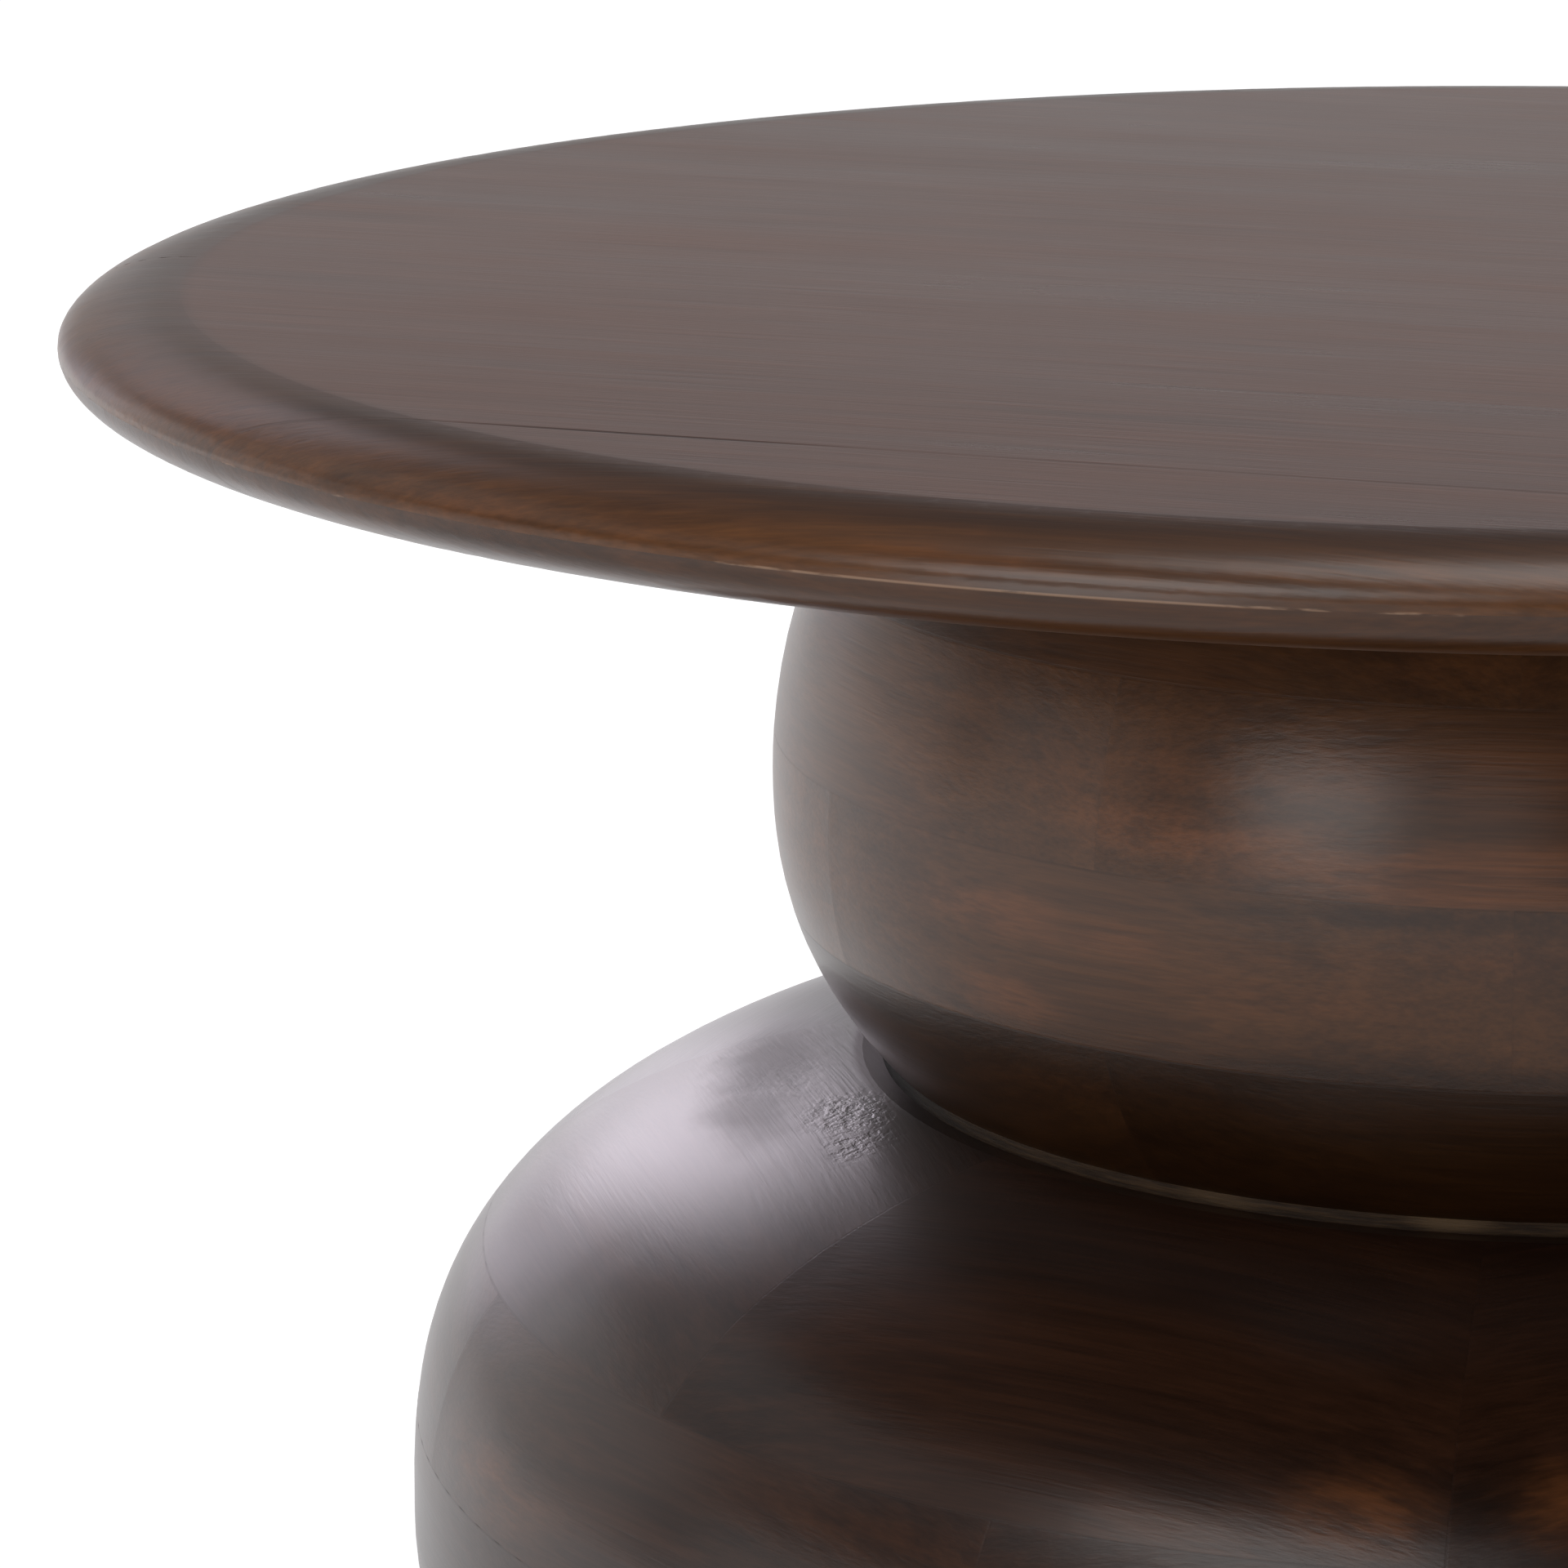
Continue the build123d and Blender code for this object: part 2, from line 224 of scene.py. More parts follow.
def floor_material():
    """Pale paper for the light, white paper with a soft shadow for the camera."""
    material, tree, shader = new_material("floor_paper")
    shader.inputs["Base Color"].default_value = (*PAPER_BOUNCE, 1.0)
    shader.inputs["Roughness"].default_value = PAPER_ROUGHNESS
    shader.inputs["Emission Color"].default_value = PAPER_TINT
    from_axis = calc_vector(tree, "LENGTH", object_place(tree))
    parts = parts_of(tree, object_place(tree))
    behind = band(tree, parts["Y"], *BACK_PAPER, LIGHT_TABLE_GLOW, BACK_PAPER_GLOW)
    left = band(tree, parts["X"], *LEFT_PAPER, LEFT_PAPER_GLOW, LIGHT_TABLE_GLOW)
    around = band(tree, from_axis, *FAR_PAPER, LIGHT_TABLE_GLOW, FAR_PAPER_GLOW)
    from_below = calc(tree, "MAXIMUM", calc(tree, "MAXIMUM", behind, left), around)
    tree.links.new(from_below, shader.inputs["Emission Strength"])
    strength = band(tree, from_axis, *WHITE_PAPER, GLOW_AT_TABLE, GLOW_FAR_OFF)
    glow = add_node(tree, "ShaderNodeEmission", {"Color": PURE_WHITE, "Strength": strength})
    weak = tuple(channel * SHADOW_SHARE for channel in FLOOR_COLOUR)
    paper = add_node(tree, "ShaderNodeBsdfDiffuse", {"Color": (*weak, 1.0)})
    seen = add_node(tree, "ShaderNodeAddShader", {0: glow.outputs[0], 1: paper.outputs[0]})
    ray = add_node(tree, "ShaderNodeLightPath")
    inputs = {0: ray.outputs["Is Camera Ray"], 1: shader.outputs[0], 2: seen.outputs[0]}
    chosen = add_node(tree, "ShaderNodeMixShader", inputs)
    tree.links.new(chosen.outputs[0], tree.nodes["Material Output"].inputs["Surface"])
    return material


floor_mesh = bmesh.new()
bmesh.ops.create_grid(floor_mesh, x_segments=2, y_segments=2, size=FLOOR_HALF_WIDTH)
floor_data = bpy.data.meshes.new("floor")
floor_mesh.to_mesh(floor_data)
floor_mesh.free()
floor_data.materials.append(floor_material())
floor = bpy.data.objects.new("floor", floor_data)
bpy.context.scene.collection.objects.link(floor)

world = bpy.data.worlds.new("studio")
world.use_nodes = True
bpy.context.scene.world = world
world_tree = world.node_tree
soft_grey = world_tree.nodes["Background"]
soft_grey.inputs["Color"].default_value = (*WORLD_GREY, 1.0)
backdrop = add_node(world_tree, "ShaderNodeBackground", {"Color": PURE_WHITE})
ray = add_node(world_tree, "ShaderNodeLightPath")
inputs = {0: ray.outputs["Is Camera Ray"], 1: soft_grey.outputs[0], 2: backdrop.outputs[0]}
chosen = add_node(world_tree, "ShaderNodeMixShader", inputs)
world_tree.links.new(chosen.outputs[0], world_tree.nodes["World Output"].inputs["Surface"])
print("floor", 2 * FLOOR_HALF_WIDTH, "m wide")

# %% [markdown]
# ## Softboxes
# Studio lamps behind white cloth. Each one is a flat rectangular lamp that faces the table. Its
# brightness is the cloth's own, where 1 is a white sheet in full light, so a lamp that is moved
# or made larger keeps its look in the lacquer. Two more stand behind on the left and light only
# the lower drum, by light linking: they give the pale sheen on its shoulder, and keep off the
# top and the upper drum, which would mirror them too.

# %% Softboxes
LIT_POINT = Vector((0.0, 0.0, 0.3))
WHITE_CLOTH = (1.0, 1.0, 1.0)
COOL_CLOTH = (1.0, 0.95, 1.06)
MAUVE_CLOTH = (1.03, 0.94, 1.05)
# azimuth, elevation, distance, width, height, brightness, cloth
SOFTBOXES = {
    "overhead": (38, 75, 2.6, 2.2, 1.9, 2.2, WHITE_CLOTH),
    "right": (28, 28, 3.2, 2.4, 1.6, 0.9, WHITE_CLOTH),
    "back_wide": (92, 7, 3.2, 3.6, 0.8, 0.51, WHITE_CLOTH),
    "behind_left_high": (122, 26, 3.0, 0.9, 0.6, 0.8, COOL_CLOTH),
    "behind_left": (134, 10, 3.0, 0.8, 0.9, 0.8, COOL_CLOTH),
    "left_wall": (157, 12, 3.2, 2.2, 1.5, 0.7, WHITE_CLOTH),
    "left_high": (165, 40, 3.0, 2.4, 1.1, 0.38, WHITE_CLOTH),
    "left_front": (-163, 9, 3.0, 1.5, 1.0, 0.8, WHITE_CLOTH),
    "front_left_high": (-126, 54, 2.8, 1.4, 1.2, 3.2, WHITE_CLOTH),
    "front_left": (-122, 16, 3.0, 1.1, 1.6, 2.65, WHITE_CLOTH),
    "front_near": (-98, 16, 3.0, 0.8, 1.4, 0.8, WHITE_CLOTH),
}
SHOULDER_BOXES = {
    "shoulder_high": (117, 17.5, 3.0, 0.75, 0.95, 2.8, MAUVE_CLOTH),
    "shoulder_wide": (119.5, 9, 3.1, 1.45, 1.5, 1.15, MAUVE_CLOTH),
}


def softbox(name, azimuth, elevation, distance, width, height, brightness, cloth):
    """A lamp in that direction from the table. Azimuth 0 is +X and 90 is +Y, in degrees."""
    around, rise = math.radians(azimuth), math.radians(elevation)
    level = math.cos(rise)
    away = Vector((math.cos(around) * level, math.sin(around) * level, math.sin(rise)))
    lamp_data = bpy.data.lights.new(name, "AREA")
    lamp_data.shape = "RECTANGLE"
    lamp_data.size = width
    lamp_data.size_y = height
    lamp_data.energy = math.pi * width * height * brightness
    lamp_data.color = cloth
    lamp = bpy.data.objects.new(name, lamp_data)
    bpy.context.scene.collection.objects.link(lamp)
    lamp.location = LIT_POINT + away * distance
    lamp.rotation_euler = away.to_track_quat("Z", "Y").to_euler()
    lamp.visible_camera = False
    return lamp


lower_drum = bpy.data.collections.new("lower_drum_only")
for number in range(1, 6):
    lower_drum.objects.link(nodes[f"lower_drum_ring_{number}"])

for name, numbers in SOFTBOXES.items():
    softbox(name, *numbers)
for name, numbers in SHOULDER_BOXES.items():
    lamp = softbox(name, *numbers)
    lamp.light_linking.receiver_collection = lower_drum

# %% [markdown]
# ## Wood
# On the real table every board and every wedge is cut from a straight plank, so its fibres run
# straight along it. The pattern is made in the plank's own axes, with Y along the fibres: fine
# fibres and broad streaks are noise drawn out along Y, and the growth rings are circles around a
# far-off pith. One node group makes them all, so each finish needs only a place.

# %% Grain pattern
FIBRE_STRETCH = (950.0, 26.0, 950.0)
STREAK_STRETCH = (230.0, 7.0, 230.0)
BLOTCH_STRETCH = (24.0, 5.0, 34.0)
PATCH_STRETCH = (26.0, 5.0, 62.0)
PATCH_BAND = (0.50, 0.76)
RING_WAVES = 190.0
RING_WOBBLE = 0.03
RING_WOBBLE_STRETCH = (9.0, 2.2, 9.0)
# a trunk hardly tapers, so a step along the fibres counts for little in the rings
RING_TAPER = (1.0, 0.02, 1.0)


def grain_group():
    """A node group: from a place in the plank to its rings, fibres, blotches and patches."""
    group = bpy.data.node_groups.new("plank_grain", "ShaderNodeTree")
    group.interface.new_socket("Place", in_out="INPUT", socket_type="NodeSocketVector")
    group.interface.new_socket("Pith", in_out="INPUT", socket_type="NodeSocketVector")
    for name in ("Rings", "Fibres", "Streaks", "Blotches", "Patches"):
        group.interface.new_socket(name, in_out="OUTPUT", socket_type="NodeSocketFloat")
    start = add_node(group, "NodeGroupInput")
    end = add_node(group, "NodeGroupOutput")
    place = start.outputs["Place"]

    wobble = noise(group, place, RING_WOBBLE_STRETCH, detail=2.0)
    from_pith = calc_vector(group, "SUBTRACT", place, start.outputs["Pith"])
    flat = calc_vector(group, "MULTIPLY", from_pith, RING_TAPER)
    radius = calc(group, "MULTIPLY_ADD", wobble, RING_WOBBLE, calc_vector(group, "LENGTH", flat))
    along = calc(group, "MULTIPLY", radius, RING_WAVES)
    waves = {"W": along, "Scale": 1.0, "Detail": 3.0, "Roughness": 0.65}
    rings = add_node(group, "ShaderNodeTexNoise", waves, noise_dimensions="1D")
    patches = noise(group, place, PATCH_STRETCH, detail=5.0, roughness=0.62)
    results = {
        "Rings": rings.outputs["Fac"],
        "Fibres": noise(group, place, FIBRE_STRETCH, detail=3.0, roughness=0.6),
        "Streaks": noise(group, place, STREAK_STRETCH, detail=4.0, roughness=0.62),
        "Blotches": noise(group, place, BLOTCH_STRETCH, detail=3.0, roughness=0.55),
        "Patches": band(group, patches, *PATCH_BAND),
    }
    for name, socket in results.items():
        group.links.new(socket, end.inputs[name])
    return group


PLANK_GRAIN = grain_group()
print("grain group:", len(PLANK_GRAIN.nodes), "nodes")

# %% [markdown]
# ## Marks made by hand
# The stain is wiped on with a cloth, which leaves warm thin places, and dark ones where it
# pooled. Such a mark is a soft oval with a ragged edge. It can be set out in a plank's axes, or
# on a round face by its azimuth, radius and height.

# %% Ovals and spots
RAGGED_STRETCH = (45.0, 45.0, 90.0)
RAGGED_SHIFT = (0.022, 0.022, 0.010)
NOISE_MIDDLE = (0.5, 0.5, 0.5)
# an oval fades from this share of its size to its edge
OVAL_CORE = 0.15
# a noise made into two tones, dark under the first number and pale over the second
TWO_TONES = (0.35, 0.65)


def ragged(tree, place):
    """The place, shifted by noise, so that whatever is drawn there gets a ragged edge."""
    shift = noise(tree, place, RAGGED_STRETCH, detail=4.0, roughness=0.65, output="Color")
    centred = calc_vector(tree, "SUBTRACT", shift, NOISE_MIDDLE)
    return calc_vector(tree, "ADD", place, calc_vector(tree, "MULTIPLY", centred, RAGGED_SHIFT))


def oval(tree, place, middle, halves):
    """1 in the middle of a soft oval, 0 outside it."""
    scaled = calc_vector(tree, "DIVIDE", calc_vector(tree, "SUBTRACT", place, middle), halves)
    return band(tree, calc_vector(tree, "LENGTH", scaled), OVAL_CORE, 1.0, 1.0, 0.0)


def spot(tree, place, azimuth, radius, height, half_width, half_height, strength, half_depth=0.06):
    """A soft oval on a round face. The azimuth is in degrees and the sizes in metres."""
    local = turned_about(tree, place, math.radians(-azimuth))
    mark = oval(tree, local, (radius, 0.0, height), (half_depth, half_width, half_height))
    return calc(tree, "MULTIPLY", mark, strength)


def together(tree, marks):
    """The strongest of several marks at each place."""
    total = None
    for mark in marks:
        total = mark if total is None else calc(tree, "MAXIMUM", total, mark)
    return total


# %% [markdown]
# ## Stain and lacquer
# Three tones lie over each other: a near-black stain in the hollows, a warm brown one, and
# orange wood where the stain was wiped thin. The lacquer over them is satin. It is the shader's
# own gloss. The fibres and streaks still show in it as a relief of a few hundredths of a
# millimetre, which blurs what the lacquer mirrors across the boards.

# %% Stain and lacquer
TOP_STAINS = ((0.078, 0.0300, 0.0185), (0.118, 0.0475, 0.0285))
UPPER_STAINS = ((0.048, 0.0175, 0.0050), (0.100, 0.0370, 0.0095))
LOWER_STAINS = ((0.017, 0.0068, 0.0036), (0.042, 0.0160, 0.0075))
WIPED_WOOD = (0.165, 0.055, 0.015)
BARE_WOOD = (0.36, 0.22, 0.135)
# dusty, and also a painted sheen: the pale lavender-grey of the lit shoulder, put on a ledge that
# lies in shade
DUST_AND_SHEEN_COLOUR = (0.34, 0.30, 0.32)
LACQUER_ROUGHNESS = 0.29
BLOTCH_DULLNESS = 0.10
MILLIMETRE = 0.001
# how much each pattern counts in the step from the dark stain to the brown one
STREAK_SHARE, BLOTCH_SHARE, RING_SHARE = 0.55, 0.65, 0.10
STAIN_BAND = (0.42, 0.86)
# low, high, and the factor at each: on wiping, by the streaks, and on the tone, by the fibres
WIPED_BY_STREAKS = (0.34, 0.6, 0.35, 1.0)
TONE_BY_FIBRES = (0.3, 0.7, 0.84, 1.16)
# in millimetres
STREAK_RELIEF, FIBRE_RELIEF = 0.06, 0.045
MARK_TONE = {"dark": -0.6, "line": -0.75, "pitted": -0.25}
MARK_COLOUR = {"bare": BARE_WOOD, "dust_and_sheen": DUST_AND_SHEEN_COLOUR}
# a mark's height in millimetres, and what it adds to the roughness
MARK_RELIEF = {
    "line": (-0.15, 0.3),
    "pitted": (-0.13, 0.03),
    "bare": (0.0, 0.2),
    "dust_and_sheen": (0.0, 0.4),
    "dull": (0.0, 0.15),
}


def stained(tree, shader, place, pith, marks):
    """Paints the shader as stained wood.

    marks holds its two stains, dark and brown, and what lies over them: tone (a factor on all of
    it), wiped, dark, line (an open or filled joint), bare (raw wood at a worn edge), pitted, dull,
    and a dusty mark with a painted sheen, each from 0 to 1.
    """
    inputs = {"Place": place, "Pith": pith}
    grain = add_node(tree, "ShaderNodeGroup", inputs, node_tree=PLANK_GRAIN).outputs
    ground = calc(tree, "MULTIPLY", grain["Blotches"], BLOTCH_SHARE)
    ground = calc(tree, "MULTIPLY_ADD", grain["Streaks"], STREAK_SHARE, ground)
    ground = calc(tree, "MULTIPLY_ADD", grain["Rings"], RING_SHARE, ground)
    colour = mix_colour(tree, band(tree, ground, *STAIN_BAND), *marks["stains"])
    wiped = calc(tree, "MULTIPLY", grain["Patches"], marks["patches"])
    if "wiped" in marks:
        wiped = calc(tree, "MAXIMUM", wiped, marks["wiped"])
    wiped = calc(tree, "MULTIPLY", wiped, band(tree, grain["Streaks"], *WIPED_BY_STREAKS))
    colour = mix_colour(tree, wiped, colour, WIPED_WOOD)
    shade = calc(tree, "MULTIPLY", band(tree, grain["Fibres"], *TONE_BY_FIBRES), marks["tone"])
    for kind, depth in MARK_TONE.items():
        if kind in marks:
            kept = calc(tree, "MULTIPLY_ADD", marks[kind], depth, 1.0)
            shade = calc(tree, "MULTIPLY", shade, kept)
    colour = mix_colour(tree, 1.0, colour, greyed(tree, shade), "MULTIPLY")
    for kind, over in MARK_COLOUR.items():
        if kind in marks:
            colour = mix_colour(tree, marks[kind], colour, over)
    tree.links.new(colour, shader.inputs["Base Color"])

    height = calc(tree, "MULTIPLY", grain["Fibres"], FIBRE_RELIEF)
    height = calc(tree, "MULTIPLY_ADD", grain["Streaks"], STREAK_RELIEF, height)
    smooth = LACQUER_ROUGHNESS - BLOTCH_DULLNESS / 2
    dull = calc(tree, "MULTIPLY_ADD", grain["Blotches"], BLOTCH_DULLNESS, smooth)
    for kind, (rise, roughening) in MARK_RELIEF.items():
        if kind in marks:
            height = calc(tree, "MULTIPLY_ADD", marks[kind], rise, height)
            dull = calc(tree, "MULTIPLY_ADD", marks[kind], roughening, dull)
    add_relief(tree, shader, height, MILLIMETRE)
    tree.links.new(dull, shader.inputs["Roughness"])


def dress(node_name, material):
    """Gives a CAD piece its material."""
    mesh = nodes[node_name].data
    mesh.materials.clear()
    mesh.materials.append(material)


# %% [markdown]
# ## Boards of the top
# Two layers of boards are glued up with their fibres 15 degrees off the table's own X. The stain
# is even on the flat top and wiped thin on the rounded rim, where the cloth turned over the
# edge. The first joint from the front has opened a little, and the lacquer has chipped along the
# glue line half-way up the rim, where pale wood shows.

# %% Boards of the top
GRAIN_ANGLE = math.radians(-15.0)
RIM_LINE_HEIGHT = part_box("top_board_1")[0].z
RIM_START, RIM_FULL = 0.366, 0.376
FLAT_END, EDGE_START = 0.346, 0.358
# painted shade: the stain is darker in a band where the flat turns into the rim, for the dark
# reflection along the rim's shoulder
PAINTED_BAND_TONE = 0.65
RIM_TONE = 1.05
# painted shade: the lower layer of boards, whose underside faces down, is painted darker
TOP_TONE, UNDER_PAINTED_SHADE_TONE, BOARD_TONES = 1.0, 0.62, 0.06
TOP_PATCHES, UNDER_PATCHES = 0.12, 0.30
TOP_HEIGHT = 0.457
# a board's number times this is where it lies in the pattern
BOARD_SHIFT = (0.31, 1.7, 0.13)
PITH_SWAY, PITH_DEPTH = 0.05, 0.3
MOTTLE_STRETCH, MOTTLE_BAND = (38.0, 38.0, 120.0), (0.46, 0.66)
MOTTLE_SHARE = 0.65
WIPED_BY_CLOTH = 0.22
OPEN_JOINT = 0.2995
JOINT_BAND = (0.0004, 0.0014)
# the joint shows a little all along, and most around this place
JOINT_LEAST, JOINT_MORE = 0.13, 0.75
OPEN_PLACE, OPEN_HALVES = (OPEN_JOINT, -0.13, TOP_HEIGHT), (0.05, 0.06, 0.05)
CHIP_STRETCH, CHIP_BAND = (90.0, 90.0, 500.0), (0.60, 0.78)
CHIPPED_PLACE = (-106.5, 0.381, RIM_LINE_HEIGHT, 0.110, 0.02, 0.34)
CHIP_LINE = (0.0001, 0.00042, 0.55, 0.0)
# azimuth, radius, height, half width, half height, strength
RIM_WIPED = (
    (-108.5, 0.3765, 0.4502, 0.040, 0.0045, 0.55),
    (-119.5, 0.3765, 0.4495, 0.045, 0.0045, 0.32),
    (-96.5, 0.3730, 0.4525, 0.040, 0.0030, 0.30),
    (-128.0, 0.3765, 0.4495, 0.050, 0.0045, 0.35),
    (-143.0, 0.3775, 0.4495, 0.055, 0.0045, 0.40),
    (-96.0, 0.3800, 0.4425, 0.045, 0.0030, 0.45),
)
DARK_HALF_HEIGHT = 0.02
# along the fibres, across them, half length, half width, strength
TOP_DARK = (
    (-0.04, -0.243, 0.07, 0.006, 0.45),
    (0.035, -0.185, 0.04, 0.005, 0.35),
    (-0.061, 0.070, 0.05, 0.006, 0.25),
    (-0.198, 0.129, 0.05, 0.006, 0.25),
    (-0.300, -0.120, 0.05, 0.010, 0.35),
    (-0.330, -0.020, 0.04, 0.012, 0.30),
)


def board_finish(name, seed, stains, tone, patches):
    """One board. The fibres run along Y in the pattern, so the place is turned by a quarter more.

    The flat has its own two stains. The rim has the drums' stains.
    """
    material, tree, shader = new_material(name)
    place = object_place(tree)
    local = turned_about(tree, place, math.radians(90.0) - GRAIN_ANGLE)
    shift = tuple(step * seed for step in BOARD_SHIFT)
    sway = PITH_SWAY * math.sin(7.0 * seed)
    pith = (shift[0] + sway, shift[1], shift[2] - PITH_DEPTH)
    parts = parts_of(tree, place)
    across = parts_of(tree, local)
    from_axis = distance_from_axis(tree, place)
    on_rim = band(tree, from_axis, RIM_START, RIM_FULL)
    edge = band(tree, from_axis, FLAT_END, EDGE_START)
    # a band of painted shade between the flat and the rim
    to_rim = band(tree, from_axis, EDGE_START, RIM_FULL, PAINTED_BAND_TONE, RIM_TONE)
    tone_with_painted_band = calc(tree, "MAXIMUM", to_rim, calc(tree, "SUBTRACT", 1.0, edge))
    mottle = noise(tree, place, MOTTLE_STRETCH, detail=4.0, roughness=0.65)
    mottle = band(tree, mottle, *MOTTLE_BAND)

    frayed = ragged(tree, place)
    spots = together(tree, [spot(tree, frayed, *numbers) for numbers in RIM_WIPED])
    mottled = calc(tree, "MULTIPLY_ADD", mottle, MOTTLE_SHARE, 1.0 - MOTTLE_SHARE)
    spots = calc(tree, "MULTIPLY", spots, mottled)
    by_cloth = calc(tree, "MULTIPLY", calc(tree, "MULTIPLY", mottle, on_rim), WIPED_BY_CLOTH)
    dark = []
    for along, over, half_length, half_width, strength in TOP_DARK:
        halves = (half_width, half_length, DARK_HALF_HEIGHT)
        mark = oval(tree, local, (-over, along, TOP_HEIGHT), halves)
        dark.append(calc(tree, "MULTIPLY", mark, strength))

    from_joint = calc(tree, "ABSOLUTE", calc(tree, "SUBTRACT", across["X"], OPEN_JOINT))
    joint = band(tree, from_joint, *JOINT_BAND, 1.0, 0.0)
    opened = oval(tree, local, OPEN_PLACE, OPEN_HALVES)
    opened = calc(tree, "MULTIPLY_ADD", opened, JOINT_MORE, JOINT_LEAST)

    from_line = calc(tree, "ABSOLUTE", calc(tree, "SUBTRACT", parts["Z"], RIM_LINE_HEIGHT))
    chips = noise(tree, place, CHIP_STRETCH, detail=3.0, roughness=0.6)
    chips = calc(tree, "ADD", chips, spot(tree, place, *CHIPPED_PLACE))
    chips = band(tree, chips, *CHIP_BAND)
    bare = calc(tree, "MULTIPLY", chips, band(tree, from_line, *CHIP_LINE))
    flat_dark, flat_brown = stains
    rim_dark, rim_brown = UPPER_STAINS
    marks = {
        "stains": (
            mix_colour(tree, edge, flat_dark, rim_dark),
            mix_colour(tree, edge, flat_brown, rim_brown),
        ),
        "tone": calc(tree, "MULTIPLY", tone_with_painted_band, tone),
        "patches": patches,
        "wiped": calc(tree, "MAXIMUM", spots, by_cloth),
        "dark": together(tree, dark),
        "line": calc(tree, "MULTIPLY", joint, opened),
        "bare": calc(tree, "MULTIPLY", bare, on_rim),
    }
    stained(tree, shader, calc_vector(tree, "ADD", local, shift), pith, marks)
    return material


for number in range(1, 9):
    name = f"top_board_{number}"
    tone = TOP_TONE + BOARD_TONES * math.sin(5.0 * number)
    dress(name, board_finish(name, number, TOP_STAINS, tone, TOP_PATCHES))
for number in range(1, 8):
    name = f"under_board_{number}"
    tone = UNDER_PAINTED_SHADE_TONE + BOARD_TONES * math.sin(3.0 * number)
    dress(name, board_finish(name, 10 + number, UPPER_STAINS, tone, UNDER_PATCHES))
print("boards dressed, rim line at", round(RIM_LINE_HEIGHT, 4))

# %% [markdown]
# ## Drums
# Each drum is a stack of rings and each ring is glued up from wedges, like a barrel. A wedge's
# fibres run along its own chord, so the finish first finds which wedge a place is in, by its
# azimuth, and turns the place into that plank's axes. Every wedge is then shifted by its own
# chance number, so no two planks look alike. The joints are tight and show mostly as a change of
# tone from one plank to the next.

# %% Drum rings
UPPER_WEDGES, UPPER_JOINT, UPPER_PATCHES = 6, math.radians(-92.0), 0.28
LOWER_WEDGES, LOWER_JOINT, LOWER_PATCHES = 8, math.radians(-94.0), 0.10
# azimuth, radius, height, half width, half height, strength, and half depth where it is small
WARM_SPOTS = {
    "upper_drum_ring_1": ((-94.0, 0.186, 0.3900, 0.050, 0.006, 0.30),),
    "upper_drum_ring_2": (
        (-97.0, 0.2000, 0.3450, 0.085, 0.0120, 0.95),
        (-114.0, 0.1995, 0.3500, 0.055, 0.0100, 0.92),
        (-92.5, 0.2000, 0.3455, 0.030, 0.0080, 1.00),
        (-92.0, 0.1960, 0.3680, 0.035, 0.0170, 0.45),
        (-122.0, 0.1980, 0.3580, 0.040, 0.0160, 0.35),
        (-145.0, 0.1970, 0.3600, 0.060, 0.0300, 0.22),
        (-104.0, 0.1960, 0.3670, 0.040, 0.0120, 0.50),
        (-116.0, 0.1980, 0.3640, 0.040, 0.0120, 0.40),
    ),
    "upper_drum_ring_3": (
        (-131.0, 0.2010, 0.3230, 0.040, 0.0090, 0.60),
        (-120.0, 0.2010, 0.3220, 0.022, 0.0060, 0.50),
        (-130.0, 0.1990, 0.3020, 0.028, 0.0080, 0.60),
        (-92.0, 0.2005, 0.3260, 0.022, 0.0060, 0.35),
        (-108.0, 0.2000, 0.3130, 0.050, 0.0080, 0.25),
    ),
    "lower_drum_ring_1": (
        (-98.5, 0.2650, 0.2130, 0.026, 0.0120, 0.55),
        (-88.0, 0.2640, 0.2150, 0.024, 0.0100, 0.60),
        (-107.0, 0.2650, 0.2040, 0.040, 0.0120, 0.20),
        (-125.0, 0.2500, 0.2290, 0.070, 0.0180, 0.06),
    ),
    "lower_drum_ring_2": ((-151.0, 0.2920, 0.1710, 0.055, 0.0120, 0.30),),
}
# dark places in the stain, and one band of painted shade
DARK_SPOTS = {
    "upper_drum_ring_3": (
        (-102.0, 0.2010, 0.3345, 0.075, 0.0035, 0.60),
        # painted shade: a dark band along the foot of this ring
        (-98.0, 0.1970, 0.2945, 0.085, 0.0090, 0.85),
    ),
    "lower_drum_ring_1": ((-92.0, 0.2650, 0.2150, 0.016, 0.0200, 0.70),),
}
DULL_SPOTS = {
    "lower_drum_ring_1": (
        (-177.0, 0.2020, 0.2460, 0.060, 0.0200, 1.0, 0.024),
        (-165.0, 0.2080, 0.2440, 0.040, 0.0200, 0.7, 0.020),
    ),
}
PITTED_SPOTS = {
    "lower_drum_ring_1": (
        (-157.0, 0.1870, 0.2495, 0.024, 0.0150, 1.0, 0.018),
        (-151.0, 0.1930, 0.2480, 0.018, 0.0150, 0.8, 0.014),
        (-170.0, 0.2000, 0.2470, 0.035, 0.0150, 0.25, 0.020),
    ),
}
PIT_STRETCH, PIT_BAND = (300.0, 300.0, 300.0), (0.40, 0.66)
# the ledge beside the spacer is dusty where no cloth gets, and its pale lavender-grey is also a
# painted sheen that lightens the ledge where it lies in shade
DUST_AND_SHEEN_LEDGE = {"lower_drum_ring_1": (-176.0, 0.1755, 0.2515, 0.085, 0.05, 0.75, 0.05)}
LEDGE_MARK_DEPTH = (0.0008, 0.0001)
SPOT_TABLES = {
    "wiped": WARM_SPOTS,
    "dark": DARK_SPOTS,
    "dull": DULL_SPOTS,
    "pitted": PITTED_SPOTS,
}
